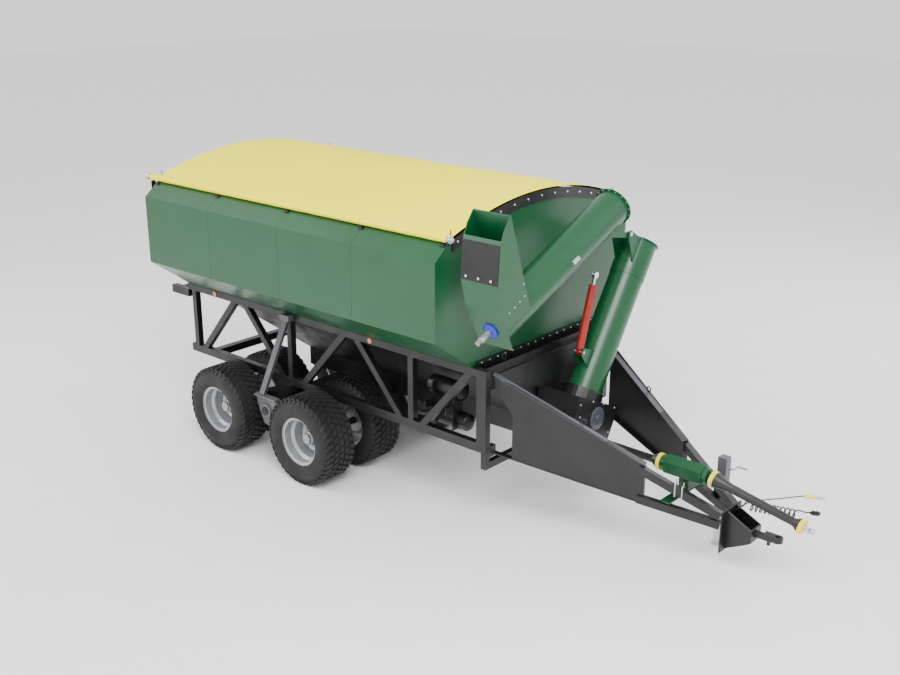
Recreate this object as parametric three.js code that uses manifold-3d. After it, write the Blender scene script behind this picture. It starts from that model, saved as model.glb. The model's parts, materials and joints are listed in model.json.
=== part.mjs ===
// Grain cart: hopper on two lattice side frames, twin-wheel walking-beam bogies, A-shaped drawbar,
// folding unloading auger, driveline and roll tarp.  Millimetres, +X towards the hitch, +Z up.
import * as THREE from 'three';
import { ConvexGeometry } from 'three/addons/geometries/ConvexGeometry.js';
import { mergeVertices } from 'three/addons/utils/BufferGeometryUtils.js';
import Module from 'manifold-3d';

const wasm = await Module();
wasm.setup();

// ---- driving dimensions -------------------------------------------------------------------------
const SHEET = 8;               // hopper sheet
const FIT = 0.5;               // gap between neighbouring pieces
const BODY_REAR = -4050;
const BODY_FRONT = 950;
const WALL_Y = 1735;           // half width over the upright side walls
const WALL_LOW = 2344;
const WALL_TOP = 3199;
const RIM_Y = 1490;            // half width at the in-folded rim
const RIM_Z = 3405;
const BASE_Y = 1161;           // half width over the lattice frames
const BASE_Z = 1933;
const CREST_Z = 3690;          // crown of the tarp bows

const TRUSS_REAR = BODY_REAR - 28;
const TRUSS_FRONT = 1159;
const POST_REAR = 1024;         // back of the front post
const TRUSS_DEEP = 80;         // chord size across the cart
const CHORD_TOP = 1930;
const CHORD_TOP_TALL = 85;
const CHORD_LOW = 974;
const CHORD_LOW_TALL = 104;

const FUNNEL_Y = 1070;         // hopper funnel inside the frames
const TROUGH_Y = 200;
const TROUGH_Z = 1080;
const TROUGH_REAR = -2750;
const TROUGH_FRONT = 1175;
const TROUGH_DEEP = 245;
const AUGER_X = 1500;          // plane of the unloading auger

const BOGIE_X = -2139;
const BOGIE_Y = 1071;
const PIVOT_Z = 700;
const AXLE_Z = 557;            // also the rolling radius
const AXLE_HALF = 788;         // half the wheel spacing along the cart
const WHEEL_Y = 392;           // wheel centre each side of the walking beam
const TYRE_R = 557;
const TYRE_W = 485;
const RIM_R = 299;

const TUBE_R = 200;            // unloading auger tube
const TUBE_WALL = 8;
const FOLD_DEG = 147;
const LEAN = Math.atan2(1823, 1190);      // angle of the lower tube above horizontal, towards +Y
const LOWER_START = 330;       // along the lower axis from its foot
const LOWER_END = 2177;
const UPPER_LENGTH = 2280;
const FOOT_Z = 1161;
const SCREW_Z = 958;            // floor screw and driveline input
const HINGE_SIDE = 400;        // fold pin beside the tube axis
const HINGE_DROP = 58;         // fold pin below the joint face

const HITCH_Z = 516;
const JACK_X = 3200;
const JACK_Y = 405;
const LINES_Y = 185;           // free lines beside the driveline

// ---- materials ----------------------------------------------------------------------------------
const paint = (colour, roughness = 0.4, metalness = 0.1) =>
  new THREE.MeshStandardMaterial({ color: colour, roughness, metalness });
const GREEN = paint(0x0a6b3a, 0.35);
const BLACK = paint(0x1c1c1f, 0.5);
const TARP = paint(0xffff4a, 0.75, 0);
const RUBBER = paint(0x0d0d0d, 0.85, 0);
const SILVER = paint(0xb9bcc0, 0.25, 0.9);
const RED = paint(0xa01010, 0.4);
const GREY = paint(0x7b7e84, 0.45, 0.4);
const YELLOW = paint(0xf2e600, 0.5, 0);
const BLUE = paint(0x1822b8, 0.4, 0.1);

// ---- helpers ------------------------------------------------------------------------------------
const cart = new THREE.Group();

function solid(geometry) {
  const bare = geometry.clone();
  bare.deleteAttribute('normal');
  bare.deleteAttribute('uv');
  const merged = mergeVertices(bare, 1e-3);
  return new wasm.Manifold(new wasm.Mesh({
    numProp: 3,
    vertProperties: new Float32Array(merged.attributes.position.array),
    triVerts: new Uint32Array(merged.index.array),
  }));
}

function geometryOf(manifold) {
  const mesh = manifold.getMesh();
  const geometry = new THREE.BufferGeometry();
  geometry.setAttribute('position', new THREE.BufferAttribute(new Float32Array(mesh.vertProperties), 3));
  geometry.setIndex(new THREE.BufferAttribute(new Uint32Array(mesh.triVerts), 1));
  geometry.computeVertexNormals();
  return geometry;
}

function union(geometries) {
  return geometries.map(solid).reduce((sum, next) => sum.add(next));
}

function place(name, shape, material) {
  const geometry = shape.getMesh ? geometryOf(shape) : shape;
  const mesh = new THREE.Mesh(geometry, material);
  mesh.name = name;
  cart.add(mesh);
  return mesh;
}

// box from its low corner to its high corner
function block(x0, x1, y0, y1, z0, z1) {
  const geometry = new THREE.BoxGeometry(x1 - x0, Math.abs(y1 - y0), z1 - z0);
  return geometry.translate((x0 + x1) / 2, (y0 + y1) / 2, (z0 + z1) / 2);
}

// straight square bar from a to b, lying in an upright plane along the cart
function bar(a, b, tall, deep) {
  const from = new THREE.Vector3(...a);
  const to = new THREE.Vector3(...b);
  const along = to.clone().sub(from);
  const geometry = new THREE.BoxGeometry(along.length(), deep, tall);
  const turn = new THREE.Quaternion().setFromUnitVectors(new THREE.Vector3(1, 0, 0), along.normalize());
  return geometry.applyQuaternion(turn).translate(...from.add(to).multiplyScalar(0.5).toArray());
}

// round bar or tube from a to b; profile radii are given by the caller
function roundBar(a, b, radius, sides = 16, endRadius = radius) {
  const from = new THREE.Vector3(...a);
  const to = new THREE.Vector3(...b);
  const along = to.clone().sub(from);
  const geometry = new THREE.CylinderGeometry(endRadius, radius, along.length(), sides);
  const turn = new THREE.Quaternion().setFromUnitVectors(new THREE.Vector3(0, 1, 0), along.normalize());
  return geometry.applyQuaternion(turn).translate(...from.add(to).multiplyScalar(0.5).toArray());
}

// flat plate whose outline is given as [a, b] pairs, upright across the cart (y, z), thick along x
function plateYZ(outline, x0, x1) {
  const shape = new THREE.Shape(outline.map(([y, z]) => new THREE.Vector2(y, z)));
  const geometry = new THREE.ExtrudeGeometry(shape, { depth: x1 - x0, bevelEnabled: false });
  const turn = new THREE.Matrix4().makeBasis(
    new THREE.Vector3(0, 1, 0), new THREE.Vector3(0, 0, 1), new THREE.Vector3(1, 0, 0));
  return geometry.applyMatrix4(turn).translate(x0, 0, 0);
}

// flat plate with an (x, z) outline, thick along y from y0 to y1
function plateXZ(outline, y0, y1) {
  const shape = new THREE.Shape(outline.map(([x, z]) => new THREE.Vector2(x, z)));
  const geometry = new THREE.ExtrudeGeometry(shape, { depth: y1 - y0, bevelEnabled: false });
  return geometry.rotateX(Math.PI / 2).translate(0, y1, 0);
}

// lathe about the y axis from [radius, along] pairs that close on themselves
function ring(profile, segments) {
  const points = [...profile, profile[0]].map(([r, y]) => new THREE.Vector2(r, y));
  return new THREE.LatheGeometry(points, segments);
}

function frustum(low, high) {
  const corners = [];
  for (const [x0, x1, y, z] of [low, high]) {
    for (const x of [x0, x1]) for (const side of [-y, y]) corners.push(new THREE.Vector3(x, side, z));
  }
  return new ConvexGeometry(corners);
}

// arc of the tarp bow across the cart, from -y to +y, with its ends at (half, rim)
function bowArc(half, rim, crest, steps) {
  const rise = crest - rim;
  const radius = (rise * rise + half * half) / (2 * rise);
  const spread = Math.asin(half / radius);
  return Array.from({ length: steps + 1 }, (_, i) => {
    const angle = spread * (2 * i / steps - 1);
    return [radius * Math.sin(angle), crest - radius * (1 - Math.cos(angle))];
  });
}

// ---- hopper -------------------------------------------------------------------------------------
function hopperSide(side) {
  const outer = [[BASE_Y, BASE_Z], [WALL_Y, WALL_LOW], [WALL_Y, WALL_TOP], [RIM_Y, RIM_Z]];
  const inner = [[RIM_Y - 5, RIM_Z - 8], [WALL_Y - SHEET, WALL_TOP - 4], [WALL_Y - SHEET, WALL_LOW + 4],
    [BASE_Y, BASE_Z + 10]];
  const outline = [...outer, ...inner].map(([y, z]) => [side * y, z]);
  return plateYZ(side > 0 ? outline : outline.reverse(), BODY_REAR, BODY_FRONT);
}

function endWall(x0, x1) {
  const inset = SHEET + FIT;
  const arc = bowArc(RIM_Y - 20, RIM_Z - 12, CREST_Z - 12, 16);
  const right = [[BASE_Y - 20, BASE_Z + FIT], [BASE_Y, BASE_Z + 12], [WALL_Y - inset, WALL_LOW + 6],
    [WALL_Y - inset, WALL_TOP - 6]];
  const left = right.map(([y, z]) => [-y, z]).reverse();
  return plateYZ([...right, ...arc.reverse(), ...left], x0, x1);
}

function hopperFloor() {
  const top = BASE_Z - FIT;
  const outer = solid(frustum(
    [TROUGH_REAR, TROUGH_FRONT - 300, TROUGH_Y, TROUGH_Z], [BODY_REAR + 20, BODY_FRONT - 20, FUNNEL_Y, top]));
  const inner = solid(frustum(
    [TROUGH_REAR + 10, TROUGH_FRONT - 310, TROUGH_Y - 10, TROUGH_Z - 1],
    [BODY_REAR + 32, BODY_FRONT - 32, FUNNEL_Y - 12, top + 1]));
  const trough = solid(block(
    TROUGH_REAR, TROUGH_FRONT, -TROUGH_Y, TROUGH_Y, TROUGH_Z - TROUGH_DEEP, TROUGH_Z + 1));
  const channel = solid(block(
    TROUGH_REAR + SHEET, TROUGH_FRONT + 1, -TROUGH_Y + 10, TROUGH_Y - 10,
    TROUGH_Z - TROUGH_DEEP + SHEET, TROUGH_Z + 20));
  const lid = solid(block(TROUGH_FRONT - 310, TROUGH_FRONT, -TROUGH_Y, TROUGH_Y, TROUGH_Z - 8, TROUGH_Z + 1));
  return outer.subtract(inner).add(trough).subtract(channel).add(lid);
}

place('hopper_side_left', hopperSide(-1), GREEN);
place('hopper_side_right', hopperSide(1), GREEN);
place('hopper_front_wall', endWall(BODY_FRONT - SHEET, BODY_FRONT), GREEN);
place('hopper_rear_wall', endWall(BODY_REAR, BODY_REAR + SHEET), GREEN);
place('hopper_floor', hopperFloor(), BLACK);

// ---- bows, tarp and tarp roll -------------------------------------------------------------------
function bow(x0, x1) {
  const outer = bowArc(RIM_Y - 14, RIM_Z - 4, CREST_Z, 16);
  const inner = bowArc(RIM_Y - 14, RIM_Z - 130, CREST_Z - 118, 16);
  return plateYZ([...inner, ...outer.reverse()], x0, x1);
}

function tarpSheet() {
  const over = bowArc(RIM_Y - 4, RIM_Z + 30, CREST_Z + 22, 16);
  const under = bowArc(RIM_Y - 4, RIM_Z + 14, CREST_Z + 4, 16);
  return plateYZ([...under, ...over.reverse()], BODY_REAR - 10, BODY_FRONT + 10);
}

place('front_bow', bow(BODY_FRONT + FIT, BODY_FRONT + 14), BLACK);
place('rear_bow', bow(BODY_REAR - 14, BODY_REAR - FIT), BLACK);
place('tarp', tarpSheet(), TARP);
const ROLL_R = 40;
const ROLL_Y = -RIM_Y - 52;
const ROLL_Z = RIM_Z + 12;
place('tarp_roll', roundBar(
  [BODY_REAR - 200, ROLL_Y, ROLL_Z], [BODY_FRONT + 75, ROLL_Y, ROLL_Z], ROLL_R, 16), TARP);

// ---- lattice side frames ------------------------------------------------------------------------
const PANEL = [
  { kind: 'post', x: 90 }, { kind: 'brace', low: 217, high: 967 }, { kind: 'brace', low: 1897, high: 1123 },
  { kind: 'post', x: 2015 }, { kind: 'brace', low: 2223, high: 3022 }, { kind: 'brace', low: 3950, high: 3186 },
  { kind: 'post', x: 4091 }, { kind: 'brace', low: 4235, high: 4995 },
];
const TUBE = 80;

function truss(side) {
  const outer = side * BASE_Y;
  const inner = side * (BASE_Y - TRUSS_DEEP);
  const middle = side * (BASE_Y - TRUSS_DEEP / 2);
  const low = CHORD_LOW + CHORD_LOW_TALL / 2;
  const high = CHORD_TOP - CHORD_TOP_TALL / 2;
  const span = [Math.min(outer, inner), Math.max(outer, inner)];
  const pieces = [
    block(TRUSS_REAR, TRUSS_FRONT, ...span, CHORD_TOP - CHORD_TOP_TALL, CHORD_TOP),
    block(TRUSS_REAR, TRUSS_FRONT, ...span, CHORD_LOW, CHORD_LOW + CHORD_LOW_TALL),
    block(POST_REAR, TRUSS_FRONT, ...span, CHORD_LOW, CHORD_TOP),
  ];
  for (const part of PANEL) {
    const at = (x, z) => [BODY_REAR + x, middle, z];
    if (part.kind === 'post') pieces.push(bar(at(part.x, low), at(part.x, high), TUBE, TUBE - 2));
    else pieces.push(bar(at(part.low, low), at(part.high, high), TUBE, TUBE - 4));
  }
  return union(pieces);
}

place('truss_left', truss(-1), BLACK);
place('truss_right', truss(1), BLACK);

// ---- cross members ------------------------------------------------------------------------------
const INSIDE = BASE_Y - TRUSS_DEEP - FIT;
const REAR_BEAM_X = BODY_REAR + 385;
place('rear_cross_beam', block(REAR_BEAM_X - 50, REAR_BEAM_X + 50, -INSIDE, INSIDE, 960, 1060), BLACK);

// channel under the front wall, and a dropped beam that passes below the trough
function frontFrame() {
  const back = BODY_FRONT + 16;
  const dropTop = TROUGH_Z - TROUGH_DEEP - 20;
  const pieces = [
    block(back, back + 12, -INSIDE, INSIDE, CHORD_TOP - 100, CHORD_TOP + 50),
    block(back, back + 130, -INSIDE, INSIDE, CHORD_TOP - 100, CHORD_TOP - 88),
    block(back + 118, back + 130, -INSIDE, INSIDE, CHORD_TOP - 100, CHORD_TOP),
    block(back + 60, back + 130, -INSIDE, INSIDE, dropTop - 80, dropTop),
  ];
  for (const side of [-1, 1]) {
    pieces.push(block(back + 60, back + 130, side * INSIDE, side * (INSIDE - 70), dropTop - 80, CHORD_TOP - 90));
  }
  return union(pieces);
}
place('front_cross_frame', frontFrame(), BLACK);

// rear light bar: an arm back from the rear posts and a cross bar with a lamp box at each end
function lightBar() {
  const tail = BODY_REAR - 400;
  const pieces = [block(tail + 40, tail + 100, -1100, 1100, 1750, 1810)];
  for (const side of [-1, 1]) {
    pieces.push(block(tail, TRUSS_REAR - FIT, side * BASE_Y, side * (BASE_Y - 90), 1735, 1840));
  }
  return union(pieces);
}
place('rear_light_bar', lightBar(), BLACK);

// ---- axle frame, outriggers and bogies ----------------------------------------------------------
const SHAFT_R = 55;
const SHAFT_END = 1530;

// cross box under the trough with a forked hanger each side that straddles the walking beam
function axleFrame() {
  const boxTop = TROUGH_Z - TROUGH_DEEP - 5;
  const pieces = [
    block(BOGIE_X - 100, BOGIE_X + 100, -940, 940, boxTop - 175, boxTop),
    roundBar([BOGIE_X, -SHAFT_END, PIVOT_Z], [BOGIE_X, SHAFT_END, PIVOT_Z], SHAFT_R, 20),
  ];
  for (const side of [-1, 1]) {
    pieces.push(block(BOGIE_X - 150, BOGIE_X + 150, side * 932, side * 1210, 880, CHORD_LOW - FIT));
    pieces.push(block(BOGIE_X - 100, BOGIE_X + 100, side * 932, side * 995, 620, 890));
    pieces.push(block(BOGIE_X - 100, BOGIE_X + 100, side * 1147, side * 1210, 620, 890));
  }
  return union(pieces);
}

function outrigger(side) {
  const y = side * 1478;
  const foot = [BODY_REAR + 1831, y, 900];
  const head = [BODY_REAR + 2040, side * (BASE_Y + 45), CHORD_TOP - 50];
  const cheek = [[BOGIE_X - 190, 900], [BOGIE_X - 170, 760], [BOGIE_X - 60, 520], [BOGIE_X + 40, 500],
    [BOGIE_X + 150, 760], [BOGIE_X + 190, 860]];
  const plate = plateXZ(cheek.reverse(), y - 14, y + 14);
  const flange = block(BOGIE_X - 195, BOGIE_X + 195, y - 45, y + 45, 868, 890);
  const boss = roundBar([BOGIE_X, y - 40, PIVOT_Z], [BOGIE_X, y + 40, PIVOT_Z], 95, 20);
  const strut = bar(foot, head, 70, 60);
  const shoe = block(head[0] - 80, head[0] + 80, side > 0 ? BASE_Y + FIT : -BASE_Y - 90,
    side > 0 ? BASE_Y + 90 : -BASE_Y - FIT, CHORD_TOP - 80, CHORD_TOP - 5);
  const bore = solid(roundBar([BOGIE_X, y - 200, PIVOT_Z], [BOGIE_X, y + 200, PIVOT_Z], SHAFT_R + 1, 20));
  return union([plate, flange, boss, strut, shoe]).subtract(bore);
}

place('axle_frame', axleFrame(), BLACK);
place('outrigger_left', outrigger(-1), GREY);
place('outrigger_right', outrigger(1), GREY);

const STUB_R = 45;

function walkingBeam(side) {
  const y = side * BOGIE_Y;
  const outline = [[-AXLE_HALF - 110, AXLE_Z - 60], [-AXLE_HALF - 60, AXLE_Z - 110],
    [AXLE_HALF + 60, AXLE_Z - 110], [AXLE_HALF + 110, AXLE_Z - 60], [AXLE_HALF + 110, AXLE_Z + 60],
    [AXLE_HALF + 40, AXLE_Z + 105], [150, PIVOT_Z + 110], [-150, PIVOT_Z + 110],
    [-AXLE_HALF - 40, AXLE_Z + 105], [-AXLE_HALF - 110, AXLE_Z + 60]];
  const plate = plateXZ(outline.map(([x, z]) => [BOGIE_X + x, z]), y - 65, y + 65);
  const axles = [-1, 1].map((end) => {
    const x = BOGIE_X + end * AXLE_HALF;
    return roundBar([x, y - WHEEL_Y - 60, AXLE_Z], [x, y + WHEEL_Y + 60, AXLE_Z], STUB_R, 20);
  });
  const bore = solid(roundBar([BOGIE_X, y - 200, PIVOT_Z], [BOGIE_X, y + 200, PIVOT_Z], SHAFT_R + 1, 20));
  return union([plate, ...axles]).subtract(bore);
}

function tyre() {
  const half = TYRE_W / 2;
  return ring([[RIM_R + 4, 14 - half], [470, -half], [TYRE_R, 80 - half], [TYRE_R, half - 80],
    [470, half], [RIM_R + 4, half - 14]], 24);
}

function rim(out) {
  const barrel = RIM_R - 16;
  const profile = [[STUB_R + 2, -150], [100, -150], [barrel, -126], [barrel, -212],
    [RIM_R, -212], [RIM_R, 212], [barrel, 212], [barrel, -108], [100, -100], [STUB_R + 2, -30]];
  return ring(out > 0 ? profile : profile.map(([r, y]) => [r, -y]).reverse(), 16);
}

for (const [label, side] of [['left', -1], ['right', 1]]) {
  place(`walking_beam_${label}`, walkingBeam(side), BLACK);
  for (const [end, along] of [['rear', -1], ['front', 1]]) {
    for (const [row, out] of [['outer', 1], ['inner', -1]]) {
      const at = [BOGIE_X + along * AXLE_HALF, side * (BOGIE_Y + out * WHEEL_Y), AXLE_Z];
      place(`tyre_${label}_${end}_${row}`, tyre(), RUBBER).position.set(...at);
      place(`rim_${label}_${end}_${row}`, rim(side * out), SILVER).position.set(...at);
    }
  }
}

// ---- drawbar and hitch --------------------------------------------------------------------------
const DRAW_REAR = [1350, 935];          // x and |y| where a side plate starts
const DRAW_NOSE = [3493, 157];          // x and |y| where the side meets the hitch head
const DRAW_ANGLE = Math.atan2(DRAW_REAR[1] - DRAW_NOSE[1], DRAW_NOSE[0] - DRAW_REAR[0]);
const DRAW_LENGTH = Math.hypot(DRAW_REAR[1] - DRAW_NOSE[1], DRAW_NOSE[0] - DRAW_REAR[0]);
const WEB = 1468;                       // length of the deep side plate
const webLow = (t) => 901 - 0.182 * t;
const webHigh = (t) => 1771 - 0.47 * t;

// one side of the A-frame, drawn flat along its own length and swung into place
function drawbarSide(side) {
  const inner = side > 0 ? -1 : 1;
  const web = plateXZ([[0, webLow(0)], [WEB, webLow(WEB)], [WEB, webHigh(WEB)], [0, webHigh(0)],
    [-230, 1835], [-230, 1740], [0, 1420]], -6, 6);
  const flange = bar([-235, inner * 35, 1851], [WEB, inner * 35, webHigh(WEB) - 5], 12, 90);
  const foot = bar([-215, inner * 25, 942], [WEB, inner * 25, webLow(WEB) + 3], 12, 70);
  const upper = bar([WEB - 70, inner * 8, webHigh(WEB) - 48], [DRAW_LENGTH, inner * 8, 640], 88, 74);
  const lower = bar([WEB - 70, inner * 8, webLow(WEB) + 52], [DRAW_LENGTH, inner * 8, 540], 88, 74);
  const end = block(WEB - 12, WEB, Math.min(0, inner * 60), Math.max(0, inner * 60), 655, 1060);
  const swing = side > 0 ? -DRAW_ANGLE : DRAW_ANGLE;
  const placed = geometryOf(union([web, flange, foot, upper, lower, end])).rotateZ(swing);
  const roots = [[1700, 1846], [915, 1040]].map(([z0, z1]) =>
    block(1097, 1157, side * 980, side * (BASE_Y - TRUSS_DEEP - FIT), z0, z1));
  return union([placed.translate(DRAW_REAR[0], side * DRAW_REAR[1], 0), ...roots]);
}

function hitchHead() {
  const face = DRAW_NOSE[0] + 28;
  const plate = block(face, face + 16, -205, 205, 249, 700);
  const gussets = [-1, 1].map((side) => plateXZ(
    [[face + 10, 260], [face + 250, 384], [face + 305, 420], [face + 305, 560], [face + 30, 690],
      [face + 10, 690]], side * 100 - 6, side * 100 + 6));
  const deck = block(face + 10, face + 300, -104, 104, 430, 446);
  const nose = block(face + 285, face + 305, -104, 104, 420, 560);
  return union([plate, ...gussets, deck, nose]);
}

function hitchEye() {
  const start = DRAW_NOSE[0] + 28 + 305 + FIT;
  const end = BODY_REAR + 8115;
  const shank = roundBar([start, 0, HITCH_Z - 20], [end - 60, 0, HITCH_Z - 20], 40, 16);
  const lug = block(start + 90, end - 20, -50, 50, HITCH_Z - 30, HITCH_Z + 26);
  const loop = roundBar([end, 0, HITCH_Z - 30], [end, 0, HITCH_Z + 26], 54, 20);
  const hole = solid(roundBar([end, 0, HITCH_Z - 90], [end, 0, HITCH_Z + 90], 27, 20));
  const drop = block(end - 110, end - 80, -12, 12, HITCH_Z - 100, HITCH_Z - 20);
  return union([shank, lug, loop, drop]).subtract(hole);
}

place('drawbar_side_left', drawbarSide(-1), BLACK);
place('drawbar_side_right', drawbarSide(1), BLACK);
place('hitch_head', hitchHead(), BLACK);
place('hitch_eye', hitchEye(), BLACK);

// ---- jack ---------------------------------------------------------------------------------------
const SLEEVE_HALF = 52;
const SLEEVE_TOP = 1035;
const LEG_HALF = 42;
const LEG_TOP = 720;            // leaves 300 mm of lift inside the sleeve
const CRANK_Z = 915;
const squarePost = (half, z0, z1) => block(JACK_X - half, JACK_X + half, JACK_Y - half, JACK_Y + half, z0, z1);

function jackSleeve() {
  const hollow = solid(squarePost(SLEEVE_HALF - 7, 400, SLEEVE_TOP - 10));
  // bracket that follows the slant of the drawbar tubes
  const flush = (x) => DRAW_NOSE[1] + 32 + Math.tan(DRAW_ANGLE) * (DRAW_NOSE[0] - x);
  const bracket = new ConvexGeometry([-55, 55].flatMap((dx) => [590, 840].flatMap((z) => [
    new THREE.Vector3(JACK_X + dx, flush(JACK_X + dx), z),
    new THREE.Vector3(JACK_X + dx, JACK_Y - SLEEVE_HALF + 4, z)])));
  const crankHole = solid(roundBar(
    [JACK_X + SLEEVE_HALF - 20, JACK_Y, CRANK_Z], [JACK_X + SLEEVE_HALF + 20, JACK_Y, CRANK_Z], 14, 12));
  return solid(squarePost(SLEEVE_HALF, 430, SLEEVE_TOP)).add(solid(bracket)).subtract(hollow)
    .subtract(crankHole);
}

// shaft out of the sleeve, an arm and a hand grip
function jackCrank() {
  const out = JACK_X + SLEEVE_HALF;
  return union([
    roundBar([out - 8, JACK_Y, CRANK_Z], [out + 70, JACK_Y, CRANK_Z], 10, 12),
    block(out + 56, out + 68, JACK_Y - 12, JACK_Y + 110, CRANK_Z - 10, CRANK_Z + 10),
    roundBar([out + 60, JACK_Y + 100, CRANK_Z], [out + 170, JACK_Y + 100, CRANK_Z], 11, 12),
  ]);
}
place('jack_sleeve', jackSleeve(), GREY);
place('jack_leg', union([
  squarePost(LEG_HALF, 6, LEG_TOP), roundBar([JACK_X, JACK_Y, 0], [JACK_X, JACK_Y, 10], 80, 20)]), SILVER);
place('jack_crank', jackCrank(), SILVER);

// ---- auger base ---------------------------------------------------------------------------------
const BASE_FRONT = 1790;
// housing that takes grain from the trough and turns it up the unloading auger, with a sloping guard sheet
function augerBase() {
  const rear = TROUGH_FRONT + FIT;
  const corners = [];
  for (const [s, off] of [[170, 470], [290, -357], [-76, -383], [-66, 431]]) {
    corners.push(lowerPoint(s, off, BASE_FRONT), lowerPoint(s, off, rear + 60));
  }
  for (const y of [-260, 260]) for (const z of [TROUGH_Z - TROUGH_DEEP, 1240]) corners.push([rear, y, z]);
  for (const y of [-150, 150]) corners.push([BASE_FRONT, y, TROUGH_Z - TROUGH_DEEP]);
  const shell = solid(new ConvexGeometry(corners.map((p) => new THREE.Vector3(...p))));
  const collar = solid(roundBar(lowerPoint(0), lowerPoint(LOWER_START - FIT), TUBE_R + 30, 24));
  const inside = solid(block(rear - 5, BASE_FRONT - 14, -170, 170, TROUGH_Z - TROUGH_DEEP + SHEET, 1180));
  const mouth = solid(roundBar(lowerPoint(-20), lowerPoint(LOWER_START + 60), TUBE_R - 20, 24));
  const guard = solid(new ConvexGeometry([[1106, -930, 1828], [1106, 760, 1828], [1250, -330, 1300],
    [1250, 330, 1240]].flatMap(([x, y, z]) => [new THREE.Vector3(x, y, z), new THREE.Vector3(x + 8, y, z)])));
  const drive = solid(roundBar([BASE_FRONT - 30, 0, SCREW_Z], [BASE_FRONT + 40, 0, SCREW_Z], 38, 16));
  return shell.add(collar).add(guard).subtract(inside).subtract(mouth).subtract(drive);
}

// ---- unloading auger ----------------------------------------------------------------------------
// a point beside the lower tube's axis: s along it, off across it
function lowerPoint(s, off = 0, x = AUGER_X) {
  return [x, s * Math.cos(LEAN) - off * Math.sin(LEAN), FOOT_Z + s * Math.sin(LEAN) + off * Math.cos(LEAN)];
}
// geometry drawn with its axis on +Y is laid along the lower tube
function along(geometry) {
  return geometry.rotateX(LEAN).translate(AUGER_X, 0, FOOT_Z);
}

const PIN = lowerPoint(LOWER_END - HINGE_DROP, HINGE_SIDE);
// geometry drawn as if the auger were straight is folded back over the fold pin
function folded(geometry) {
  geometry.translate(-PIN[0], -PIN[1], -PIN[2]);
  geometry.rotateX(THREE.MathUtils.degToRad(FOLD_DEG));
  return geometry.translate(...PIN);
}

function tubeWithFlanges(s0, s1) {
  const r = TUBE_R - TUBE_WALL;
  const lip = TUBE_R + 26;
  return ring([[r, s0], [lip, s0], [lip, s0 + 12], [TUBE_R, s0 + 12], [TUBE_R, s1 - 12], [lip, s1 - 12],
    [lip, s1], [r, s1]], 24);
}

const EAR = 16;
const LOWER_EAR = 110;         // offset of a lower ear from the mid plane, and of an upper one inside it
const UPPER_EAR = 88;
// a pair of plates in the tube's lengthwise plane, with an (across, along) outline
function ears(outline, offset) {
  return [-1, 1].map((side) => {
    const shape = new THREE.Shape(outline.map(([off, s]) => new THREE.Vector2(s, off)));
    const geometry = new THREE.ExtrudeGeometry(shape, { depth: EAR, bevelEnabled: false });
    const turn = new THREE.Matrix4().makeBasis(
      new THREE.Vector3(0, 1, 0), new THREE.Vector3(0, 0, 1), new THREE.Vector3(1, 0, 0));
    return along(geometry.applyMatrix4(turn).translate(side * offset - EAR / 2, 0, 0));
  });
}

const RAM_LOW = lowerPoint(671, 373);
const RAM_HIGH = [AUGER_X, 309, 2762];
const RAM_EAR = 58;

function lowerTube() {
  const hinge = ears([[158, LOWER_END - 330], [158, LOWER_END - 20], [HINGE_SIDE + 20, LOWER_END - 20],
    [HINGE_SIDE + 50, LOWER_END - 60], [HINGE_SIDE + 20, LOWER_END - 110]], LOWER_EAR);
  const pin = roundBar([PIN[0] - 125, PIN[1], PIN[2]], [PIN[0] + 125, PIN[1], PIN[2]], 24, 16);
  const foot = ears([[186, 540], [186, 760], [390, 720], [410, 671], [390, 625]], RAM_EAR);
  const ramPin = roundBar([AUGER_X - 72, RAM_LOW[1], RAM_LOW[2]], [AUGER_X + 72, RAM_LOW[1], RAM_LOW[2]], 16, 12);
  const tube = along(tubeWithFlanges(LOWER_START, LOWER_END));
  return union([tube, ...hinge, pin, ...foot, ramPin]);
}

const TAIL = LOWER_END + 2 + UPPER_LENGTH;
function upperTube() {
  const hinge = ears([[168, LOWER_END + 360], [HINGE_SIDE + 20, LOWER_END - 10],
    [HINGE_SIDE + 45, LOWER_END - 62], [HINGE_SIDE + 5, LOWER_END - 100], [HINGE_SIDE - 35, LOWER_END - 60],
    [HINGE_SIDE - 40, LOWER_END + 20], [168, LOWER_END + 40]], UPPER_EAR);
  const r = TUBE_R - TUBE_WALL;
  const s0 = LOWER_END + 2;
  const tube = along(ring([[r, s0], [TUBE_R + 26, s0], [TUBE_R + 26, s0 + 12], [TUBE_R, s0 + 12],
    [TUBE_R, TAIL + 8], [45, TAIL + 8], [45, TAIL - 1], [r, TAIL - 1]], 24));
  const bore = solid(roundBar([PIN[0] - 200, PIN[1], PIN[2]], [PIN[0] + 200, PIN[1], PIN[2]], 27, 16));
  const outlet = solid(along(block(-150, 150, TAIL - 330, TAIL - 40, -TUBE_R - 30, -90)));
  return folded(geometryOf(union([tube, ...hinge]).subtract(bore).subtract(outlet)));
}

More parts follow.
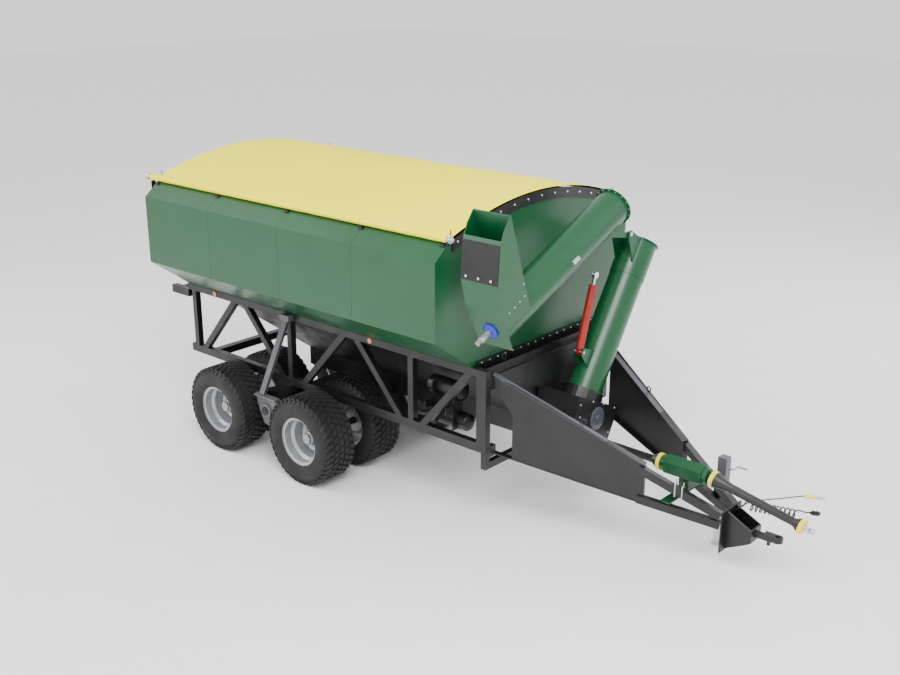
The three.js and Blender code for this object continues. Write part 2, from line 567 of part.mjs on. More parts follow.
// spout hood on the end of the upper tube; outlines are [past the tube's end, out from its axis]
const HOOD = 240;
const FLAP_LOW = [-15, 572];
const FLAP_HIGH = [-204, 925];
function hoodPrism(points, half) {
  const shape = new THREE.Shape(points.map(([past, out]) => new THREE.Vector2(TAIL + past, -out)));
  const geometry = new THREE.ExtrudeGeometry(shape, { depth: 2 * half, bevelEnabled: false });
  const turn = new THREE.Matrix4().makeBasis(
    new THREE.Vector3(0, 1, 0), new THREE.Vector3(0, 0, 1), new THREE.Vector3(1, 0, 0));
  return solid(along(geometry.applyMatrix4(turn).translate(-half, 0, 0)));
}
function spout() {
  const hood = hoodPrism([[-354, 60], [-456, 1115], [-319, 1038], FLAP_HIGH, FLAP_LOW, [32, 285], [32, 60]], HOOD);
  const inside = hoodPrism([[-346, 40], [-446, 1130], [-300, 1060], [FLAP_HIGH[0] - 9, FLAP_HIGH[1] - 6],
    [FLAP_LOW[0] - 9, FLAP_LOW[1] - 5], [23, 284], [23, 40]], HOOD - SHEET);
  const endPlate = hoodPrism([[24, -205], [24, 80], [32, 80], [32, -205]], HOOD - 20);
  const clear = solid(along(
    new THREE.CylinderGeometry(TUBE_R + 2, TUBE_R + 2, 1400, 24).translate(0, TAIL + 10 - 700, 0)));
  const bearingHole = solid(along(new THREE.CylinderGeometry(50, 50, 100, 20).translate(0, TAIL + 30, 0)));
  return folded(geometryOf(hood.subtract(inside).add(endPlate).subtract(clear).subtract(bearingHole)));
}

function spoutFlap() {
  const gap = FIT;
  const thick = 8;
  const run = new THREE.Vector2(FLAP_HIGH[0] - FLAP_LOW[0], FLAP_HIGH[1] - FLAP_LOW[1]).normalize();
  const at = ([past, out], lift) => [past + run.y * lift, out - run.x * lift];
  return folded(geometryOf(hoodPrism(
    [at(FLAP_LOW, gap), at(FLAP_HIGH, gap), at(FLAP_HIGH, gap + thick), at(FLAP_LOW, gap + thick)], HOOD - 4)));
}

// flanged bearing outside the end plate, with the screw's shaft passing through it
function endBearing() {
  const s = TAIL + 32 + FIT;
  return folded(along(ring([[40, s - 20], [48, s - 20], [48, s], [92, s], [92, s + 14], [58, s + 34], [40, s + 34]], 12)));
}

// auger screw along +Y: a core and one fin, turned steadily along its length, with plain shaft at the end
function screw(length, radius, pitch, core, bare) {
  const perTurn = 9;
  const steps = Math.floor((length - bare) / pitch * perTurn);
  const fin = Array.from({ length: steps + 1 }, (_, i) => 12 + i * pitch / perTurn);
  const stations = [0, ...fin, fin[steps] + 12, length];
  const rings = stations.map((y, i) => {
    const plain = i === 0 || i > steps + 1;
    const turn = 2 * Math.PI * Math.min(Math.max(i - 1, 0), steps) / perTurn;
    const tip = plain ? core + 2 : radius;
    return [[core, 0.16], [core, 1.6], [core, 3.14], [core, 4.68], [core, 6.12], [tip, 6.22], [tip, 6.35]]
      .map(([r, a]) => [r * Math.sin(a + turn), y, r * Math.cos(a + turn)]);
  });
  const sides = rings[0].length;
  const points = rings.flat();
  const faces = [];
  for (let i = 0; i < rings.length - 1; i += 1) {
    for (let k = 0; k < sides; k += 1) {
      const a = i * sides + k;
      const b = i * sides + (k + 1) % sides;
      faces.push(a, b, a + sides, b, b + sides, a + sides);
    }
  }
  const last = points.length - sides;
  for (let k = 1; k < sides - 1; k += 1) faces.push(0, k + 1, k, last, last + k, last + k + 1);
  const geometry = new THREE.BufferGeometry();
  geometry.setAttribute('position', new THREE.BufferAttribute(new Float32Array(points.flat()), 3));
  geometry.setIndex(faces);
  return geometry;
}

place('auger_base', augerBase(), BLACK);
place('lower_auger_tube', lowerTube(), GREEN);
place('upper_auger_tube', upperTube(), GREEN);
place('spout', spout(), GREEN);
place('spout_flap', spoutFlap(), RUBBER);
place('auger_end_bearing', endBearing(), BLUE);
place('lower_auger_screw', along(screw(LOWER_END - LOWER_START - 15, 170, 380, 38, 40)
  .translate(0, LOWER_START + 5, 0)), GREY);
place('upper_auger_screw', folded(along(screw(UPPER_LENGTH + 252, 170, 380, 34, 300)
  .translate(0, LOWER_END + 8, 0))), GREY);
place('floor_screw', screw(BASE_FRONT + 50 - TROUGH_REAR - 20, 108, 520, 34, 500)
  .rotateZ(-Math.PI / 2).translate(TROUGH_REAR + 20, 0, SCREW_Z), GREY);

// ---- fold ram -----------------------------------------------------------------------------------
const ramDir = new THREE.Vector3(...RAM_HIGH).sub(new THREE.Vector3(...RAM_LOW));
const RAM_LENGTH = ramDir.length();
ramDir.normalize();
const ramPoint = (s) => new THREE.Vector3(...RAM_LOW).addScaledVector(ramDir, s).toArray();

function ramBarrel() {
  const barrel = roundBar(ramPoint(30), ramPoint(RAM_LENGTH - 110), 46, 20);
  const hollow = solid(roundBar(ramPoint(90), ramPoint(RAM_LENGTH - 60), 24, 16));
  const eye = roundBar([AUGER_X - 20, RAM_LOW[1], RAM_LOW[2]], [AUGER_X + 20, RAM_LOW[1], RAM_LOW[2]], 40, 16);
  const bore = solid(roundBar([AUGER_X - 60, RAM_LOW[1], RAM_LOW[2]], [AUGER_X + 60, RAM_LOW[1], RAM_LOW[2]], 18, 12));
  return union([barrel, eye]).subtract(hollow).subtract(bore);
}
function ramRod() {
  return union([
    roundBar(ramPoint(110), ramPoint(RAM_LENGTH - 10), 22, 16),
    roundBar([AUGER_X - 22, RAM_HIGH[1], RAM_HIGH[2]], [AUGER_X + 22, RAM_HIGH[1], RAM_HIGH[2]], 38, 16),
  ]);
}
place('fold_ram_barrel', ramBarrel(), RED);
place('fold_ram_rod', ramRod(), SILVER);

// ---- driveline ----------------------------------------------------------------------------------
const DRIVE_START = [BASE_FRONT + 52, 0, SCREW_Z];
const BOX_REAR = [2695, 0, 955];
const BOX_FRONT = [3250, 0, 955];
const DRIVE_NOSE = [4442.4, 0, 719];

function driveGuard(from, to, parts) {
  const start = new THREE.Vector3(...from);
  const end = new THREE.Vector3(...to);
  const at = (t) => start.clone().lerp(end, t).toArray();
  return union(parts.map(([t0, t1, r0, r1]) => roundBar(at(t0), at(t1), r0, 16, r1)));
}
function driveSupport() {
  const box = new THREE.CylinderGeometry(120, 120, BOX_FRONT[0] - BOX_REAR[0] - 110, 6)
    .rotateZ(-Math.PI / 2).translate((BOX_FRONT[0] + BOX_REAR[0]) / 2, 0, BOX_REAR[2]);
  const core = roundBar(BOX_REAR, BOX_FRONT, 92, 16);
  const leg = block(2925, 2975, -60, 60, 694, 900);
  const shelf = block(2890, 3010, -372, 372, 694, 706);
  return union([box, core, leg, shelf]);
}
place('rear_drive_shaft', driveGuard(DRIVE_START, [BOX_REAR[0] - 4, 0, BOX_REAR[2]],
  [[0, 0.86, 45, 45], [0.85, 1, 48, 92]]), BLACK);
place('drive_support', driveSupport(), GREEN);
place('front_drive_shaft', driveGuard([BOX_FRONT[0] + 22, 0, BOX_FRONT[2]], DRIVE_NOSE,
  [[0, 0.17, 92, 48], [0.16, 0.84, 45, 42], [0.83, 0.92, 45, 84], [0.91, 1, 40, 40]]), BLACK);

// ---- air tanks ----------------------------------------------------------------------------------
// two tanks end to end with the cart, one over the other, on two strap plates hung from the chord
function airTanks() {
  const y = -800;
  const pieces = [
    roundBar([30, y, 1440], [540, y, 1440], 108, 20), roundBar([130, y, 1085], [650, y, 1085], 103, 20)];
  for (const x of [180, 490]) {
    pieces.push(block(x, x + 14, -950, y + 20, 1000, 1520));
    pieces.push(block(x, x + 14, 1 - BASE_Y + TRUSS_DEEP, -940, 1230, 1320));
  }
  return union(pieces);
}
place('air_tanks', airTanks(), BLACK);

// ---- free lines at the hitch --------------------------------------------------------------------
const lineShape = (radius, sides) => new THREE.Shape(Array.from({ length: sides }, (_, i) =>
  new THREE.Vector2(radius * Math.cos(2 * Math.PI * i / sides), radius * Math.sin(2 * Math.PI * i / sides))));
const lineAlong = (path, radius, steps) =>
  new THREE.ExtrudeGeometry(lineShape(radius, 5), { steps, extrudePath: path, bevelEnabled: false });

const COIL_FROM = new THREE.Vector3(3640, LINES_Y, 684);
const COIL_TO = new THREE.Vector3(4150, LINES_Y, 752);
const COIL_R = 50;
const COIL_TURNS = 10;
class Helix extends THREE.Curve {
  getPoint(t, target = new THREE.Vector3()) {
    const turn = 2 * Math.PI * COIL_TURNS * t;
    target.copy(COIL_FROM).lerp(COIL_TO, t);
    target.y += COIL_R * Math.sin(turn);
    target.z += COIL_R * Math.cos(turn);
    return target;
  }
}
function curlyCord() {
  const lead = new THREE.CatmullRomCurve3([
    [3545, LINES_Y, 640], [3570, LINES_Y, 660], [3600, LINES_Y - 8, 716], [3640, LINES_Y, 734],
  ].map((p) => new THREE.Vector3(...p)));
  const tail = new THREE.CatmullRomCurve3([
    [4150, LINES_Y, 802], [4190, LINES_Y + 10, 806], [4240, LINES_Y, 812], [4300, LINES_Y, 826],
  ].map((p) => new THREE.Vector3(...p)));
  const plug = roundBar([4290, LINES_Y, 823], [4398, LINES_Y, 846], 26, 12);
  return union([lineAlong(lead, 7, 6), lineAlong(new Helix(), 7, COIL_TURNS * 9), lineAlong(tail, 7, 6), plug]);
}

const HOSE_ROUTE = [[3540, 60, 660], [3570, 66, 672], [3620, 110, 720], [3750, 150, 791], [4000, 150, 900],
  [4234, 150, 1003]];
place('curly_cord', curlyCord(), BLACK);
place('brake_hose', lineAlong(
  new THREE.CatmullRomCurve3(HOSE_ROUTE.map((p) => new THREE.Vector3(...p))), 6, 24), BLACK);
place('brake_coupler', roundBar([4236, 150, 1003.6], [4446, 150, 1040], 20, 12), YELLOW);

export default cart;
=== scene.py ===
"""Grain cart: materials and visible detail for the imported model.  Metres, +X to the hitch, +Z up."""
import json
import math

import bmesh
import bpy
from mathutils import Matrix, Vector


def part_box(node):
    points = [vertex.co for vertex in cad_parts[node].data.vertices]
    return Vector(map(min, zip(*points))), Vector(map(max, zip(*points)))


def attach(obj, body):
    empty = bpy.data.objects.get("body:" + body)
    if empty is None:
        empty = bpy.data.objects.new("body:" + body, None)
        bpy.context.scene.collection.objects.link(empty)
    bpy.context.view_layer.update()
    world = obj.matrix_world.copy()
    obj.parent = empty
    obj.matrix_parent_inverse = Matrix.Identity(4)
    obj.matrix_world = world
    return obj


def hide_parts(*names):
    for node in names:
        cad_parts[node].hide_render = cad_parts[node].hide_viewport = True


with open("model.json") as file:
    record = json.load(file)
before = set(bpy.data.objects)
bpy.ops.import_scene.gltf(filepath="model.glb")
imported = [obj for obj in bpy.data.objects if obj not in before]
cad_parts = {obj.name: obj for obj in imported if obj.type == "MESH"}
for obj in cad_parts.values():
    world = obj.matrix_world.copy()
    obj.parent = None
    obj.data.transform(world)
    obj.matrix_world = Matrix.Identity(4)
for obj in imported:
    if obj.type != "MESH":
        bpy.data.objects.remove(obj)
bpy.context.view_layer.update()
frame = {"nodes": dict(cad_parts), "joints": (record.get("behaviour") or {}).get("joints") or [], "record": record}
JOINTS = {j["name"]: j for j in frame["joints"]}
SLOT_OF = {s["node"]: s["material_slot"] for s in frame["record"]["subparts"]}


# ---- camera --------------------------------------------------------------------------------------
camera_data = bpy.data.cameras.new("camera")
camera_data.lens = 46.2
camera_data.sensor_width = 36
camera = bpy.data.objects.new("camera", camera_data)
bpy.context.scene.collection.objects.link(camera)
camera.location = (8.515, -10.035, 6.211)
camera.rotation_mode = "QUATERNION"
camera.rotation_quaternion = Vector((-0.6287, 0.7089, -0.3198)).to_track_quat("-Z", "Y")
bpy.context.scene.camera = camera


# ---- materials -----------------------------------------------------------------------------------
def shader(name, metal=0.0, coat=0.0):
    """A new Principled material with its metal and coat set."""
    material = bpy.data.materials.new(name)
    material.use_nodes = True
    tree = material.node_tree
    bsdf = tree.nodes["Principled BSDF"]
    bsdf.inputs["Metallic"].default_value = metal
    bsdf.inputs["Coat Weight"].default_value = coat
    bsdf.inputs["Coat Roughness"].default_value = 0.18
    return material, tree, bsdf


def node(tree, kind, **values):
    made = tree.nodes.new(kind)
    for key, value in values.items():
        if key in made.inputs:
            made.inputs[key].default_value = value
        else:
            setattr(made, key, value)
    return made


def noise(tree, scale, detail=4.0, stretch=None):
    """Noise in object space, so that it stays on the piece."""
    coords = node(tree, "ShaderNodeTexCoord")
    texture = node(tree, "ShaderNodeTexNoise", Scale=scale, Detail=detail)
    source = coords.outputs["Object"]
    if stretch:
        mapping = node(tree, "ShaderNodeMapping")
        mapping.inputs["Scale"].default_value = stretch
        tree.links.new(source, mapping.inputs["Vector"])
        source = mapping.outputs["Vector"]
    tree.links.new(source, texture.inputs["Vector"])
    return texture.outputs["Fac"]


def ramp(tree, source, low, high, start=0.35, end=0.65):
    made = node(tree, "ShaderNodeValToRGB")
    made.color_ramp.elements[0].position = start
    made.color_ramp.elements[0].color = (*low, 1)
    made.color_ramp.elements[1].position = end
    made.color_ramp.elements[1].color = (*high, 1)
    tree.links.new(source, made.inputs["Fac"])
    return made.outputs["Color"]


def grey(value):
    return (value, value, value)


def bump(tree, bsdf, height, strength, distance):
    made = node(tree, "ShaderNodeBump", Strength=strength, Distance=distance)
    tree.links.new(height, made.inputs["Height"])
    tree.links.new(made.outputs["Normal"], bsdf.inputs["Normal"])


def finish_surface(name, low, high, rough, spread=0.08, metal=0.0, coat=0.0, grain=60.0, strength=0.05,
                   stretch=None):
    material, tree, bsdf = shader(name, metal, coat)
    tree.links.new(ramp(tree, noise(tree, 1.7, 6), low, high), bsdf.inputs["Base Color"])
    tree.links.new(ramp(tree, noise(tree, 5.0, 8), grey(rough - spread), grey(rough + spread)),
                   bsdf.inputs["Roughness"])
    bump(tree, bsdf, noise(tree, grain, 3, stretch), strength, 0.002)
    return material


def tarp_cloth():
    """Coated fabric: a fine plain weave under a smooth yellow coat, faintly soiled."""
    material, tree, bsdf = shader("tarp_cloth")
    base = ramp(tree, noise(tree, 0.9, 6), (0.98, 0.84, 0.0), (1.0, 0.90, 0.0), 0.3, 0.6)
    tree.links.new(base, bsdf.inputs["Base Color"])
    bsdf.inputs["Roughness"].default_value = 0.7
    bsdf.inputs["Specular IOR Level"].default_value = 0.15
    coords = node(tree, "ShaderNodeTexCoord")
    waves = []
    for direction in ("X", "Y"):
        wave = node(tree, "ShaderNodeTexWave", Scale=140.0, bands_direction=direction)
        tree.links.new(coords.outputs["Object"], wave.inputs["Vector"])
        waves.append(wave.outputs["Fac"])
    weave = node(tree, "ShaderNodeMath", operation="MULTIPLY")
    tree.links.new(waves[0], weave.inputs[0])
    tree.links.new(waves[1], weave.inputs[1])
    bump(tree, bsdf, weave.outputs[0], 0.12, 0.001)
    return material


MATERIALS = {
    "green_paint": finish_surface("green_paint", (0.0004, 0.060, 0.017), (0.0006, 0.070, 0.021), 0.36, 0.03,
                                  coat=0.1, grain=240, strength=0.015),
    "black_paint": finish_surface("black_paint", (0.003, 0.003, 0.0035), (0.006, 0.006, 0.007), 0.42, 0.08,
                                  coat=0.0, grain=90),
    "grey_paint": finish_surface("grey_paint", (0.085, 0.085, 0.095), (0.12, 0.12, 0.135), 0.38, 0.08, 0.2),
    "blue_paint": finish_surface("blue_paint", (0.005, 0.008, 0.30), (0.01, 0.02, 0.42), 0.35),
    "red_paint": finish_surface("red_paint", (0.22, 0.001, 0.001), (0.30, 0.003, 0.003), 0.34, coat=0.3),
    "rim_silver": finish_surface("rim_silver", (0.30, 0.31, 0.33), (0.42, 0.43, 0.45), 0.33, 0.07, 0.55),
    "zinc_steel": finish_surface("zinc_steel", (0.55, 0.56, 0.60), (0.72, 0.73, 0.76), 0.30, 0.08, 0.9,
                                 stretch=(1, 1, 12)),
    "screw_steel": finish_surface("screw_steel", (0.22, 0.21, 0.20), (0.38, 0.37, 0.36), 0.38, 0.1, 0.9),
    "rod_chrome": finish_surface("rod_chrome", (0.72, 0.72, 0.75), (0.8, 0.8, 0.82), 0.12, 0.03, 1.0),
    "tyre_rubber": finish_surface("tyre_rubber", (0.0035, 0.0035, 0.0035), (0.009, 0.0085, 0.008), 0.72, 0.1,
                                  grain=220, strength=0.2),
    "flap_rubber": finish_surface("flap_rubber", (0.005, 0.005, 0.005), (0.009, 0.009, 0.009), 0.6, 0.08,
                                  grain=150, strength=0.12),
    "guard_plastic": finish_surface("guard_plastic", (0.008, 0.008, 0.009), (0.014, 0.014, 0.015), 0.5, 0.08,
                                    grain=180, strength=0.1),
    "cord_black": finish_surface("cord_black", (0.005, 0.005, 0.006), (0.009, 0.009, 0.010), 0.42, 0.06),
    "yellow_plastic": finish_surface("yellow_plastic", (0.86, 0.70, 0.004), (0.92, 0.78, 0.01), 0.35, 0.06),
    "tarp_cloth": tarp_cloth(),
    "flange_grey": finish_surface("flange_grey", (0.045, 0.045, 0.060), (0.065, 0.065, 0.085), 0.36, 0.06),
    "lamp_red": finish_surface("lamp_red", (0.35, 0.004, 0.004), (0.5, 0.01, 0.01), 0.15, 0.04, coat=0.6),
    "lamp_amber": finish_surface("lamp_amber", (0.75, 0.18, 0.004), (0.85, 0.25, 0.01), 0.15, 0.04, coat=0.6),
}
for name, piece in frame["nodes"].items():
    piece.data.materials.clear()
    piece.data.materials.append(MATERIALS[SLOT_OF[name]])


# ---- mesh helpers --------------------------------------------------------------------------------
def keep(name, bm, material, body, smooth=True, angle=35):
    """Turn a bmesh into a piece that rides on a body."""
    bmesh.ops.recalc_face_normals(bm, faces=bm.faces)
    mesh = bpy.data.meshes.new(name)
    bm.to_mesh(mesh)
    bm.free()
    if smooth:
        mesh.shade_smooth()
        mesh.set_sharp_from_angle(angle=math.radians(angle))
    mesh.materials.append(MATERIALS[material])
    piece = bpy.data.objects.new(name, mesh)
    bpy.context.scene.collection.objects.link(piece)
    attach(piece, body)
    return piece


def lathe(bm, profile, segments, matrix, closed=True):
    """Turn (radius, along) points about the matrix's Z axis."""
    rings = []
    for radius, along in profile:
        rings.append([bm.verts.new(matrix @ Vector((radius * math.cos(a), radius * math.sin(a), along)))
                      for a in (2 * math.pi * i / segments for i in range(segments))])
    pairs = list(zip(rings, rings[1:] + rings[:1])) if closed else list(zip(rings, rings[1:]))
    for low, high in pairs:
        for i in range(segments):
            j = (i + 1) % segments
            bm.faces.new((low[i], low[j], high[j], high[i]))
    if not closed:
        bm.faces.new(rings[0])
        bm.faces.new(rings[-1])


def axis_matrix(start, direction):
    turn = Vector(direction).to_track_quat("Z", "Y").to_matrix().to_4x4()
    return Matrix.Translation(Vector(start)) @ turn


def rod(bm, a, b, radius, segments=24, end_radius=None):
    a, b = Vector(a), Vector(b)
    length = (b - a).length
    lip = min(0.15 * radius, 0.004)
    end = radius if end_radius is None else end_radius
    profile = [(radius - lip, 0), (radius, lip), (end, length - lip), (end - lip, length)]
    lathe(bm, profile, segments, axis_matrix(a, b - a), closed=False)


def box_into(bm, low, high, bevel=0.003):
    part = bmesh.new()
    bmesh.ops.create_cube(part, size=1)
    low, high = Vector(low), Vector(high)
    size = high - low
    bmesh.ops.transform(part, matrix=Matrix.Translation((low + high) / 2) @ Matrix.Diagonal((*size, 1)),
                        verts=part.verts)
    width = min(bevel, 0.3 * min(size))
    bmesh.ops.bevel(part, geom=part.edges[:], offset=width, segments=1, affect="EDGES")
    temp = bpy.data.meshes.new("temp")
    part.to_mesh(temp)
    part.free()
    bm.from_mesh(temp)
    bpy.data.meshes.remove(temp)


def bolts(name, places, normal, size, material, body):
    """Hexagon heads on washers, one at each place, standing out along normal."""
    bm = bmesh.new()
    for place in places:
        matrix = axis_matrix(place, normal)
        lathe(bm, [(0.9 * size, -0.001), (0.9 * size, 0.12 * size)], 16, matrix, closed=False)
        head = [(0.62 * size, 0.1 * size), (0.62 * size, 0.5 * size), (0.5 * size, 0.58 * size)]
        lathe(bm, head, 6, matrix, closed=False)
    return keep(name, bm, material, body, angle=20)


def spread(a, b, count):
    a, b = Vector(a), Vector(b)
    return [a.lerp(b, i / (count - 1)) for i in range(count)]


# ---- free lines ----------------------------------------------------------------------------------
LINES_Y = 0.185


def curve_piece(name, points, radius, material, body):
    data = bpy.data.curves.new(name, "CURVE")
    data.dimensions = "3D"
    data.bevel_depth = radius
    data.bevel_resolution = 4
    data.use_fill_caps = True
    spline = data.splines.new("POLY")
    spline.points.add(len(points) - 1)
    for target, place in zip(spline.points, points):
        target.co = (*place, 1)
    data.materials.append(MATERIALS[material])
    piece = bpy.data.objects.new(name, data)
    bpy.context.scene.collection.objects.link(piece)
    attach(piece, body)
    return piece


def route(points, per_span=8):
    """A smooth path through the given points."""
    pts = [Vector(p) for p in points]
    full = [2 * pts[0] - pts[1]] + pts + [2 * pts[-1] - pts[-2]]
    out = []
    for i in range(1, len(full) - 2):
        a, b, c, d = full[i - 1:i + 3]
        for k in range(per_span):
            t = k / per_span
            out.append(0.5 * (2 * b + (c - a) * t + (2 * a - 5 * b + 4 * c - d) * t * t
                              + (3 * b - a - 3 * c + d) * t ** 3))
    return out + [pts[-1]]


def curly_cord():
    start, end = Vector((3.640, LINES_Y, 0.684)), Vector((4.150, LINES_Y, 0.752))
    turns, radius = 10, 0.050
    coil = []
    for i in range(turns * 24 + 1):
        turn = 2 * math.pi * i / 24
        place = start.lerp(end, i / (turns * 24))
        coil.append(place + Vector((0, radius * math.sin(turn), radius * math.cos(turn))))
    lead = route([(3.545, LINES_Y, 0.640), (3.570, LINES_Y, 0.660), (3.600, LINES_Y - 0.008, 0.716), coil[0]])
    plug_start = (4.290, LINES_Y, 0.823)
    tail = route([coil[-1], (4.190, LINES_Y + 0.010, 0.806), (4.240, LINES_Y, 0.812), plug_start])
    points = lead[:-1] + coil + tail[1:]
    cord = curve_piece("curly_cord_jacket", points, 0.007, "cord_black", "frame")
    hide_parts("curly_cord")
    bm = bmesh.new()
    axis = Vector((0.108, 0, 0.023))
    profile = [(0.010, 0), (0.016, 0.012), (0.016, 0.022), (0.026, 0.028), (0.026, 0.048), (0.019, 0.052),
               (0.019, 0.060), (0.026, 0.064), (0.026, 0.084), (0.020, 0.088), (0.020, 0.108)]
    lathe(bm, profile, 28, axis_matrix(plug_start, axis), closed=False)
    plug = keep("curly_cord_plug", bm, "cord_black", "frame")


def brake_hose():
    points = route([(3.540, 0.060, 0.660), (3.570, 0.066, 0.672), (3.620, 0.110, 0.720),
                    (3.750, 0.150, 0.791), (4.000, 0.150, 0.900), (4.234, 0.150, 1.003),
                    (4.355, 0.150, 1.024)])
    hose = curve_piece("brake_hose_line", points, 0.006, "cord_black", "frame")
    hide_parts("brake_hose")
    coupler_place = axis_matrix((4.236, 0.150, 1.0036), Vector((0.21, 0, 0.0364)))
    bm = bmesh.new()
    lathe(bm, [(0.008, 0), (0.020, 0.010), (0.020, 0.085), (0.016, 0.092), (0.020, 0.096), (0.020, 0.120)],
          28, coupler_place, closed=False)
    coupler = keep("brake_coupler_body", bm, "yellow_plastic", "frame")
    bm = bmesh.new()
    tip = [(0.015, 0.118), (0.015, 0.165), (0.018, 0.168), (0.018, 0.185), (0.011, 0.190), (0.011, 0.210)]
    lathe(bm, tip, 28, coupler_place, closed=False)
    nozzle = keep("brake_coupler_nozzle", bm, "zinc_steel", "frame")
    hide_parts("brake_coupler")


curly_cord()
brake_hose()


# ---- wheels --------------------------------------------------------------------------------------
def tyre_mesh(radius, half, bead):
    """Rounded carcass with five staggered rows of tread blocks."""
    bm = bmesh.new()
    tread = radius - 0.020
    profile = [(bead, -half + 0.030), (bead + 0.03, -half + 0.012), (0.40, -half + 0.001),
               (0.455, -half + 0.004), (0.505, -half + 0.026), (tread - 0.008, -half + 0.062),
               (tread, -half + 0.095), (tread, 0), (tread, half - 0.095), (tread - 0.008, half - 0.062),
               (0.505, half - 0.026), (0.455, half - 0.004), (0.40, half - 0.001),
               (bead + 0.03, half - 0.012), (bead, half - 0.030)]
    lathe(bm, profile, 72, Matrix.Identity(4))
    rows = [(-0.165, 0.082, 0), (-0.083, 0.066, 0.5), (0, 0.066, 0), (0.083, 0.066, 0.5), (0.165, 0.082, 0)]
    count = 40
    for centre, width, shift in rows:
        top = radius - 0.001 if abs(centre) < 0.1 else radius - 0.004
        for i in range(count):
            middle = 2 * math.pi * (i + shift) / count
            reach = math.pi / count * 0.74
            slant = 0.028 * (1 if centre >= 0 else -1)
            corners = []
            for r, shrink in ((tread - 0.006, 1.0), (top, 0.86)):
                for da, dz in ((-1, -1), (1, -1), (1, 1), (-1, 1)):
                    angle = middle + shrink * da * reach + slant * dz
                    along = centre + shrink * dz * width / 2
                    corners.append(bm.verts.new((r * math.cos(angle), r * math.sin(angle), along)))
            bm.faces.new(corners[4:])
            for k in range(4):
                bm.faces.new((corners[k], corners[(k + 1) % 4], corners[4 + (k + 1) % 4], corners[4 + k]))
    for side in (-1, 1):
        for i in range(count):
            middle = 2 * math.pi * (i + 0.5) / count
            corners = []
            for r, lift in ((0.492, 0.0), (0.532, 0.0), (0.532, 0.012), (0.492, 0.010)):
                for da in (-1, 1):
                    z = side * (half - 0.020 - (r - 0.492) * 0.75 + lift)
                    turn = middle + da * 0.042
                    corners.append(bm.verts.new((r * math.cos(turn), r * math.sin(turn), z)))
            for a, b in ((2, 4), (4, 6), (6, 0)):
                bm.faces.new((corners[a], corners[a + 1], corners[b + 1], corners[b]))
    return bm


def rim_mesh(radius, half, facing):
    """Drop-centre rim with a dished disc whose face looks along facing."""
    bm = bmesh.new()
    wall = 0.008
    outer = [(radius + 0.012, -half), (radius + 0.012, -half + 0.012), (radius - 0.012, -half + 0.018),
             (radius - 0.012, -0.09), (radius - 0.045, -0.06), (radius - 0.045, 0.06), (radius - 0.012, 0.09),
             (radius - 0.012, half - 0.018), (radius + 0.012, half - 0.012), (radius + 0.012, half)]
    inner = [(r - wall, z) for r, z in reversed(outer)]
    lathe(bm, outer + inner, 64, Matrix.Identity(4))
    disc = [(0.060, -0.055), (0.150, -0.055), (0.185, -0.030), (radius - 0.054, -0.045),
            (radius - 0.054, -0.053), (0.187, -0.040), (0.152, -0.065), (0.060, -0.065)]
    lathe(bm, [(r, facing * z) for r, z in disc], 64, Matrix.Identity(4))
    return bm


def hub_mesh(facing):
    bm = bmesh.new()
    hub = [(0.105, -0.06), (0.105, -0.045), (0.085, -0.040), (0.080, 0.045), (0.066, 0.055), (0.062, 0.085),
           (0.020, 0.092)]
    lathe(bm, [(r, facing * z) for r, z in hub], 40, Matrix.Identity(4), closed=False)
    nut = [(0.016, 0), (0.016, facing * 0.020), (0.008, facing * 0.022), (0.008, facing * 0.036)]
    for i in range(10):
        angle = 2 * math.pi * i / 10
        place = Matrix.Translation((0.128 * math.cos(angle), 0.128 * math.sin(angle), facing * -0.056))
        lathe(bm, nut, 6, place, closed=False)
    return bm


def wheels():
    for side in ("left", "right"):
        for end in ("rear", "front"):
            for row in ("outer", "inner"):
                label = f"{side}_{end}_{row}"
                low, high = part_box(f"tyre_{label}")
                centre = (low + high) / 2
                half = (high.y - low.y) / 2
                out = (-1 if side == "left" else 1) * (1 if row == "outer" else -1)
                place = Matrix.Translation(centre) @ Matrix.Rotation(-math.pi / 2, 4, "X")
                body = f"wheel_{label}"
                parts = [("tyre_tread", tyre_mesh((high.z - low.z) / 2, half, 0.303), "tyre_rubber", "tyre"),
                         ("rim_drop_centre", rim_mesh(0.291, 0.205, out), "rim_silver", "rim"),
                         ("hub", hub_mesh(out), "rim_silver", None)]
                for name, bm, material, stands_for in parts:
                    bmesh.ops.transform(bm, matrix=place, verts=bm.verts)
                    piece = keep(f"{name}_{label}", bm, material, body, angle=30)
                    if stands_for:
                        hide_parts(f"{stands_for}_{label}")


wheels()


# ---- tarp and its roll ---------------------------------------------------------------------------
def arc(half, rim, crest, count):
    rise = crest - rim
    radius = (rise * rise + half * half) / (2 * rise)
    reach = math.asin(half / radius)
    return [(radius * math.sin(a), crest - radius * (1 - math.cos(a)))
            for a in (reach * (2 * i / count - 1) for i in range(count + 1))]


def tarp():
    low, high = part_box("tarp")
    count, rows = 64, 90
    line = arc(high.y, low.z + 0.010, high.z - 0.006, count)
    bm = bmesh.new()
    grid = []
    for k in range(rows + 1):
        x = low.x + (high.x - low.x) * k / rows
        sag = 0.008 * math.sin(math.pi * k / rows) + 0.0012 * math.sin(21 * k / rows * math.pi)
        grid.append([bm.verts.new((x, y, z - sag * math.cos(0.5 * math.pi * y / high.y))) for y, z in line])
    for a, b in zip(grid, grid[1:]):
        for i in range(count):
            bm.faces.new((a[i], a[i + 1], b[i + 1], b[i]))
    piece = keep("tarp_sheet", bm, "tarp_cloth", "frame", angle=80)
    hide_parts("tarp")


